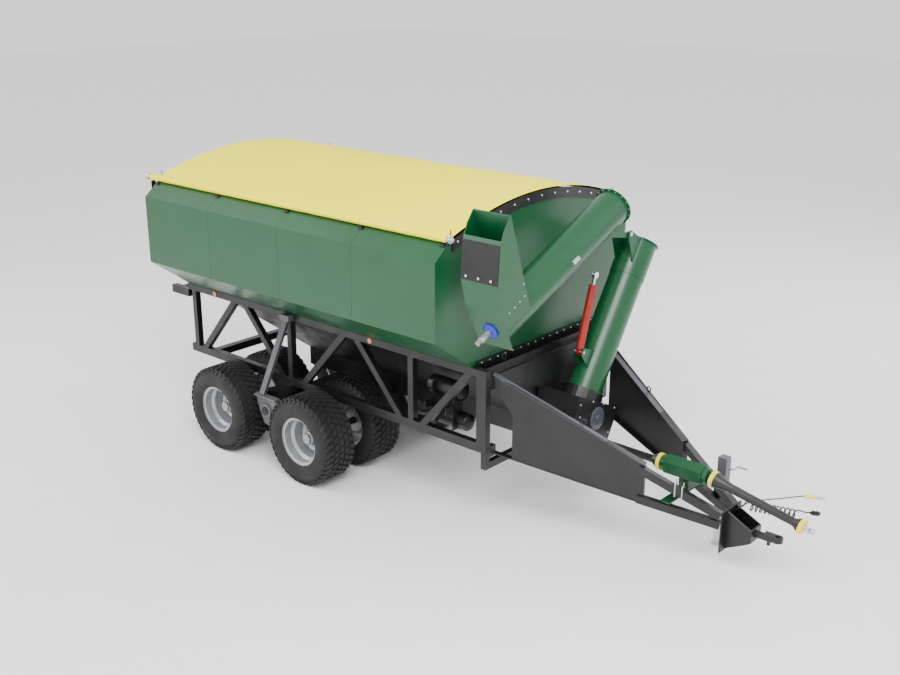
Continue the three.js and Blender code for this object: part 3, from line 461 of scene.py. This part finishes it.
def tarp_roll():
    low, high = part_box("tarp_roll")
    y, z = (low.y + high.y) / 2, (low.z + high.z) / 2
    radius = (high.z - low.z) / 2 - 0.0005
    profile = [(0.012, 0)] + [(radius - 0.002 * abs(math.sin(9 * t)) * (t > 0), 0.12 + t) for t in
                              [0.055 * i for i in range(95)] if 0.12 + t < high.x - low.x - 0.08]
    profile += [(0.012, high.x - low.x - 0.06)]
    bm = bmesh.new()
    lathe(bm, profile, 40, axis_matrix((low.x, y, z), (1, 0, 0)), closed=False)
    piece = keep("tarp_roll_cloth", bm, "tarp_cloth", "frame", angle=60)
    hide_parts("tarp_roll")
    bm = bmesh.new()
    for x0, x1 in ((low.x, low.x + 0.13), (high.x - 0.085, high.x)):
        rod(bm, (x0, y, z), (x1, y, z), 0.022, 32)
    for x in (low.x + 0.03, high.x - 0.055):
        lathe(bm, [(0.024, 0), (0.040, 0), (0.040, 0.008), (0.030, 0.014), (0.030, 0.030), (0.040, 0.036),
                   (0.040, 0.044), (0.024, 0.044)], 40, axis_matrix((x - 0.02, y, z), (1, 0, 0)))
    keep("tarp_roll_reels", bm, "zinc_steel", "frame")
    bm = bmesh.new()
    for x in (low.x + 0.115, high.x - 0.125):
        box_into(bm, (x, y - 0.030, z - 0.20), (x + 0.012, y + 0.035, z - 0.045))
    keep("tarp_roll_brackets", bm, "black_paint", "frame")


tarp()
tarp_roll()


# ---- auger ---------------------------------------------------------------------------------------
def auger_tube(name, joint, start, length, collar, body):
    """Smooth tube with rolled flanges, and a collar sleeve where asked."""
    place = Vector(JOINTS[joint]["pos_m"])
    direction = Vector(JOINTS[joint]["axis"])
    radius, wall, lip = 0.200, 0.008, 0.226
    bm = bmesh.new()
    low, high = start, start + length
    profile = [(radius - wall, low), (lip, low), (lip, low + 0.012), (radius, low + 0.012)]
    if collar:
        profile += [(radius, high - 0.45), (radius + 0.007, high - 0.448)]
        profile += [(radius + 0.007, high - 0.012), (lip, high - 0.012), (lip, high), (radius - wall, high)]
    else:
        profile += [(radius, high), (0.045, high), (0.045, high - 0.008), (radius - wall, high - 0.008)]
    lathe(bm, profile, 96, axis_matrix(place, direction))
    piece = keep(name, bm, "green_paint", body)
    return piece, place, direction


def straight(direction, side):
    """Unit vector square to the auger in the YZ plane, on the hinge side."""
    return Vector((0, -direction.z, direction.y)) * side


def plate_into(bm, origin, along, across, outline, x0, x1):
    """Flat plate between x0 and x1 with an (along, across) outline."""
    rings = [[bm.verts.new(Vector((x, 0, 0)) + origin + along * a + across * c) for a, c in outline]
             for x in (x0, x1)]
    bm.faces.new(rings[0])
    bm.faces.new(rings[1])
    count = len(outline)
    for i in range(count):
        j = (i + 1) % count
        bm.faces.new((rings[0][i], rings[0][j], rings[1][j], rings[1][i]))


def augers():
    pin = Vector(JOINTS["auger_fold"]["pos_m"])
    ram = Vector(JOINTS["ram_tilt"]["pos_m"])
    low_piece, place, direction = auger_tube("lower_tube_smooth", "lower_screw_spin", 0.330 - 1.0,
                                             2.177 - 0.330, True, "frame")
    across = straight(direction, 1)
    top = 1.177
    hinge_ear = [(top - 0.33, 0.158), (top - 0.02, 0.158), (top - 0.02, 0.42), (top - 0.06, 0.45),
                 (top - 0.11, 0.42)]
    ram_ear = [(-0.46, 0.186), (-0.24, 0.186), (-0.28, 0.39), (-0.329, 0.41), (-0.375, 0.39)]
    bm = bmesh.new()
    for outline, places in ((hinge_ear, (-0.110, 0.110)), (ram_ear, (-0.058, 0.058))):
        for x in places:
            plate_into(bm, place, direction, across, outline, x - 0.008, x + 0.008)
    keep("lower_tube_ears", bm, "green_paint", "frame")
    bm = bmesh.new()
    rod(bm, pin - Vector((0.125, 0, 0)), pin + Vector((0.125, 0, 0)), 0.024)
    rod(bm, ram - Vector((0.072, 0, 0)), ram + Vector((0.072, 0, 0)), 0.016)
    keep("auger_pins", bm, "zinc_steel", "frame")
    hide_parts("lower_auger_tube")

    up_piece, place, direction = auger_tube("upper_tube_smooth", "upper_screw_spin", 0.0, 2.288, False,
                                            "upper_auger")
    across = straight(direction, 1)
    upper_ear = [(0.358, 0.168), (-0.012, 0.42), (-0.064, 0.445), (-0.102, 0.405), (-0.062, 0.365),
                 (0.018, 0.36), (0.038, 0.168)]
    bm = bmesh.new()
    for x in (-0.088, 0.088):
        plate_into(bm, place, direction, across, upper_ear, x - 0.008, x + 0.008)
    keep("upper_tube_ears", bm, "green_paint", "upper_auger")
    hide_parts("upper_auger_tube")
    bolts("upper_flange_bolts", [place + direction * 0.014 + 0.214 * (
        Vector((math.cos(a), 0, 0)) + across * math.sin(a)) for a in (math.pi * i / 8 for i in range(16))],
        direction, 0.010, "zinc_steel", "upper_auger")
    bm = bmesh.new()
    spot = place + direction * 1.05 + across * -0.03 + Vector((0.205, 0, 0))
    rod(bm, spot - direction * 0.055, spot + direction * 0.055, 0.026, 24)
    keep("latch_clamp", bm, "zinc_steel", "upper_auger")


augers()


# ---- driveline -----------------------------------------------------------------------------------
def guard(name, joint, body, node_name, profile, yellow):
    """Plastic shaft guard with yellow collars at the given places."""
    start, direction = Vector(JOINTS[joint]["pos_m"]), Vector(JOINTS[joint]["axis"])
    bm = bmesh.new()
    lathe(bm, profile, 56, axis_matrix(start, direction), closed=False)
    piece = keep(name, bm, "guard_plastic", body, angle=40)
    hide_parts(node_name)
    for index, (s0, s1, radius) in enumerate(yellow):
        bm = bmesh.new()
        collar = [(radius - 0.012, s0), (radius, s0 + 0.004), (radius, s1 - 0.004), (radius - 0.012, s1)]
        lathe(bm, collar, 56, axis_matrix(start, direction), closed=False)
        keep(f"{name}_collar_{index + 1}", bm, "yellow_plastic", body)
    return start, direction


def ribbed_cone(s0, s1, r0, r1, count):
    """Bellows profile from (r0, s0) to (r1, s1)."""
    out = []
    for i in range(count):
        t = i / count
        radius = r0 + (r1 - r0) * t
        out += [(radius, s0 + (s1 - s0) * t), (radius - 0.003, s0 + (s1 - s0) * (t + 0.7 / count))]
    return out + [(r1, s1)]


def driveline():
    rear_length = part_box("rear_drive_shaft")[1].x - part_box("rear_drive_shaft")[0].x
    guard("rear_guard", "rear_drive_spin", "rear_drive", "rear_drive_shaft",
          [(0.070, 0)] + ribbed_cone(0.004, 0.10, 0.088, 0.045, 4) + [(0.042, 0.72)]
          + ribbed_cone(0.725, rear_length - 0.055, 0.045, 0.088, 6) + [(0.085, rear_length - 0.003)],
          [(rear_length - 0.052, rear_length - 0.006, 0.094)])
    profile = [(0.070, 0), (0.088, 0.004), (0.088, 0.05)] + ribbed_cone(0.052, 0.22, 0.088, 0.048, 7)
    profile += [(0.043, 0.96)] + ribbed_cone(0.965, 1.03, 0.045, 0.080, 4) + [(0.080, 1.075)]
    start, direction = guard("front_guard", "front_drive_spin", "front_drive", "front_drive_shaft", profile,
                             [(0.004, 0.056, 0.092), (1.03, 1.078, 0.084)])
    bm = bmesh.new()
    side = Vector((0, 1, 0))
    up = direction.cross(side)
    tip = start + direction * 1.080
    rod(bm, tip - direction * 0.02, tip + direction * 0.022, 0.034, 24)
    rod(bm, tip + direction * 0.052 - side * 0.040, tip + direction * 0.052 + side * 0.040, 0.013, 20)
    rod(bm, tip + direction * 0.052 - up * 0.040, tip + direction * 0.052 + up * 0.040, 0.013, 20)
    rod(bm, tip + direction * 0.068, tip + direction * 0.105, 0.030, 24)
    keep("front_yoke", bm, "zinc_steel", "front_drive")


driveline()


# ---- air tanks -----------------------------------------------------------------------------------
def tanks():
    low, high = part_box("air_tanks")
    bm = bmesh.new()
    for z, r, x0, x1 in ((1.440, 0.107, low.x, low.x + 0.510), (1.085, 0.102, low.x + 0.100, high.x)):
        dome = [(r * math.sin(a), 0.045 * (1 - math.cos(a)))
                for a in (math.pi / 2 * i / 8 for i in range(1, 9))]
        length = x1 - x0
        profile = dome + [(r, length / 2)] + [(a, length - b) for a, b in reversed(dome)]
        lathe(bm, profile, 56, axis_matrix((x0, -0.8, z), (1, 0, 0)), closed=False)
    shells = keep("air_tank_shells", bm, "black_paint", "frame")
    bm = bmesh.new()
    for x in (0.18, 0.49):
        for z, r in ((1.440, 0.110), (1.085, 0.105)):
            lathe(bm, [(r, 0), (r, 0.03), (r - 0.003, 0.03), (r - 0.003, 0)], 48,
                  axis_matrix((x, -0.8, z), (1, 0, 0)))
        box_into(bm, (x, -0.950, 1.000), (x + 0.014, -0.780, 1.520))
        box_into(bm, (x, -1.078, 1.230), (x + 0.014, -0.940, 1.320))
    keep("air_tank_brackets", bm, "black_paint", "frame")
    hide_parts("air_tanks")


tanks()


# ---- hopper trim ---------------------------------------------------------------------------------
def hopper_trim():
    low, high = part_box("hopper_side_left")
    profile = [(1.161, 1.933), (1.735, 2.344), (1.735, 3.199), (1.490, 3.405)]
    bm = bmesh.new()
    for x in (1.277, 2.554, 3.766):
        for side in (-1, 1):
            for (ya, za), (yb, zb) in zip(profile, profile[1:]):
                a = Vector((low.x + x, side * (ya - 0.001), za))
                b = Vector((low.x + x, side * (yb - 0.001), zb))
                rod(bm, a, b, 0.0022, 8)
    keep("panel_seams", bm, "black_paint", "frame")
    bm = bmesh.new()
    for x in (0.05, 1.277, 2.554, 3.766, 4.95):
        for side in (-1, 1):
            box_into(bm, (low.x + x - 0.03, side * 1.56 - 0.02, 3.335),
                     (low.x + x + 0.03, side * 1.56 + 0.02, 3.368))
    keep("tarp_clips", bm, "black_paint", "frame")
    places = [Vector((high.x + 0.0145, y, z - 0.05)) for y, z in arc(1.40, 3.42, 3.685, 12)]
    bolts("bow_bolts", places, (1, 0, 0), 0.014, "zinc_steel", "frame")
    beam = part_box("front_cross_frame")
    row = spread((beam[0].x + 0.0125, -1.02, 1.960), (beam[0].x + 0.0125, 1.02, 1.960), 16)
    bolts("beam_bolts", row, (1, 0, 0), 0.012, "zinc_steel", "frame")
    bm = bmesh.new()
    for side in (-1, 1):
        for x in (low.x + 0.01, high.x - 0.03):
            rod(bm, (x, side * 1.46, 3.42), (x, side * 1.46, 3.50), 0.006, 12)
    keep("tarp_pegs", bm, "black_paint", "frame")
    bm = bmesh.new()
    for y in (-0.72, 0.72):
        matrix = axis_matrix((beam[1].x - 0.05, y, 1.965), (1, 0, 0))
        ring_into(bm, matrix, 0.032, 0.008)
    keep("lifting_loops", bm, "black_paint", "frame")


def ring_into(bm, matrix, radius, wire, turns=28):
    """Round eye: a torus about the matrix's Z axis."""
    rings = []
    for i in range(turns):
        a = 2 * math.pi * i / turns
        ring = []
        for k in range(10):
            b = 2 * math.pi * k / 10
            reach = radius + wire * math.cos(b)
            spot = Vector((reach * math.cos(a), reach * math.sin(a), wire * math.sin(b)))
            ring.append(bm.verts.new(matrix @ spot))
        rings.append(ring)
    for a, b in zip(rings, rings[1:] + rings[:1]):
        for k in range(10):
            bm.faces.new((a[k], a[(k + 1) % 10], b[(k + 1) % 10], b[k]))


hopper_trim()


# ---- spout trim, auger base and lamps ------------------------------------------------------------
def spout_trim():
    place, direction = Vector(JOINTS["upper_screw_spin"]["pos_m"]), Vector(JOINTS["upper_screw_spin"]["axis"])
    out = -straight(direction, 1)
    tail = place + direction * 2.280
    normal = (direction * 0.8825 + out * 0.4725).normalized()
    bolts("flap_bolts", [tail + direction * -0.030 + out * 0.610 + normal * 0.014 + Vector((x, 0, 0))
                         for x in (-0.16, 0, 0.16)], normal, 0.016, "zinc_steel", "upper_auger")
    face = Vector((0.2405, 0, 0))
    spots = ((-0.33, 0.23), (-0.24, 0.225), (-0.15, 0.22), (-0.06, 0.215), (-0.36, 0.36))
    bolts("spout_rivets", [tail + face + direction * s + out * v for s, v in spots], (1, 0, 0), 0.009,
          "zinc_steel", "upper_auger")
    bm = bmesh.new()
    end = tail + direction * 0.052
    rod(bm, end, end + direction * 0.150, 0.034, 40)
    keep("screw_stub", bm, "zinc_steel", "upper_screw")


def base_trim():
    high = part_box("auger_base")[1]
    bm = bmesh.new()
    cover = [(0.02, 0), (0.135, 0), (0.135, 0.006), (0.120, 0.012), (0.045, 0.016), (0.040, 0.034),
             (0.02, 0.034)]
    lathe(bm, cover, 48, axis_matrix((high.x + 0.001, 0.03, 1.205), (1, 0, 0)), closed=False)
    keep("base_bearing_cover", bm, "flange_grey", "frame")
    spots = ((-0.29, 1.46), (-0.05, 1.43), (0.16, 1.34), (0.38, 1.23), (-0.30, 1.32), (0.27, 0.96))
    bolts("base_bolts", [Vector((high.x + 0.0005, y, z)) for y, z in spots], (1, 0, 0), 0.013, "zinc_steel",
          "frame")


def lamps():
    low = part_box("rear_light_bar")[0]
    for name, material, x in (("tail_lamps", "lamp_red", low.x), ("side_reflectors", "lamp_amber", None)):
        bm = bmesh.new()
        for side in (-1, 1):
            if x is not None:
                box_into(bm, (x - 0.004, side * 1.116 - 0.036, 1.752),
                         (x + 0.010, side * 1.116 + 0.036, 1.822), 0.006)
            else:
                for along in (-3.5, -0.6):
                    lathe(bm, [(0.032, 0), (0.032, 0.006), (0.024, 0.009)], 28,
                          axis_matrix((along, side * 1.161, 1.888), (0, side, 0)), closed=False)
        keep(name, bm, material, "frame")


spout_trim()
base_trim()
lamps()


# ---- drawbar trim --------------------------------------------------------------------------------
BOX_FACES = ((0, 2, 6, 4), (1, 3, 7, 5), (0, 1, 5, 4), (2, 3, 7, 6), (0, 1, 3, 2), (4, 5, 7, 6))


def drawbar_trim():
    root_x, root_y, root_top = 1.350, 0.935, 1.8575
    slope = (root_y - 0.157) / (3.493 - root_x)
    angle = math.atan(slope)
    length = 1.468                  # of the side plate, along its run
    for side, label in ((-1, "left"), (1, "right")):
        bm = bmesh.new()
        start = Vector((root_x, side * root_y, 0))
        along = Vector((math.cos(angle), -side * math.sin(angle), 0))
        inward = Vector((-math.sin(angle), -side * math.cos(angle), 0))
        corners = []
        for t, z in ((-0.235, root_top), (length, 1.0815 - 0.005 + 0.0035)):
            for w in (-0.011, 0.081):
                corners.append(bm.verts.new(start + along * t + inward * w + Vector((0, 0, z + 0.002))))
                corners.append(bm.verts.new(start + along * t + inward * w + Vector((0, 0, z - 0.004))))
        for a, b, c, d in BOX_FACES:
            bm.faces.new([corners[k] for k in (a, b, c, d)])
        keep(f"drawbar_flange_{label}", bm, "flange_grey", "frame")
        bm = bmesh.new()
        loop = start + along * 0.78 + inward * 0.03 + Vector((0, 0, root_top - 0.78 * 0.456 - 0.05))
        ring_into(bm, axis_matrix(loop, inward), 0.030, 0.008)
        keep(f"drawbar_loop_{label}", bm, "black_paint", "frame")
    bm = bmesh.new()
    for offset in (0, 0.075):
        t = 1.80 + offset
        base = Vector((root_x, -root_y, 0)) + Vector((math.cos(angle), math.sin(angle), 0)) * t
        top = 1.081 - 0.507 * 0.94 * (t - length) + 0.006
        side = Vector((math.sin(angle), -math.cos(angle), 0)) * 0.048
        for s in (-1, 1):
            leg = base + side * s
            rod(bm, leg + Vector((0, 0, top - 0.13)), leg + Vector((0, 0, top + 0.035)), 0.007, 12)
        bridge = Vector((0, 0, top + 0.012))
        rod(bm, base - side + bridge, base + side + bridge, 0.007, 12)
    keep("tube_u_bolts", bm, "zinc_steel", "frame")


drawbar_trim()


# ---- floor and light -----------------------------------------------------------------------------
def setting():
    bm = bmesh.new()
    bmesh.ops.create_grid(bm, x_segments=1, y_segments=1, size=60)
    mesh = bpy.data.meshes.new("floor")
    bm.to_mesh(mesh)
    bm.free()
    floor = bpy.data.objects.new("floor", mesh)
    bpy.context.scene.collection.objects.link(floor)
    mesh.materials.append(finish_surface("floor", (0.93, 0.93, 0.93), (0.95, 0.95, 0.95), 0.9, 0.02))
    for name, place, size, power in (("key", (7, -8, 12), 7, 2300), ("fill", (-9, -8, 8), 9, 700),
                                     ("far", (5, 11, 9), 8, 900)):
        data = bpy.data.lights.new(name, "AREA")
        data.size = size
        data.energy = power
        light = bpy.data.objects.new(name, data)
        light.location = place
        light.rotation_mode = "QUATERNION"
        light.rotation_quaternion = (Vector((0, 0, 1.5)) - Vector(place)).to_track_quat("-Z", "Y")
        bpy.context.scene.collection.objects.link(light)
    world = bpy.data.worlds.new("world")
    bpy.context.scene.world = world
    world.use_nodes = True
    world.node_tree.nodes["Background"].inputs["Color"].default_value = (1, 1, 1, 1)
    world.node_tree.nodes["Background"].inputs["Strength"].default_value = 1.3


setting()
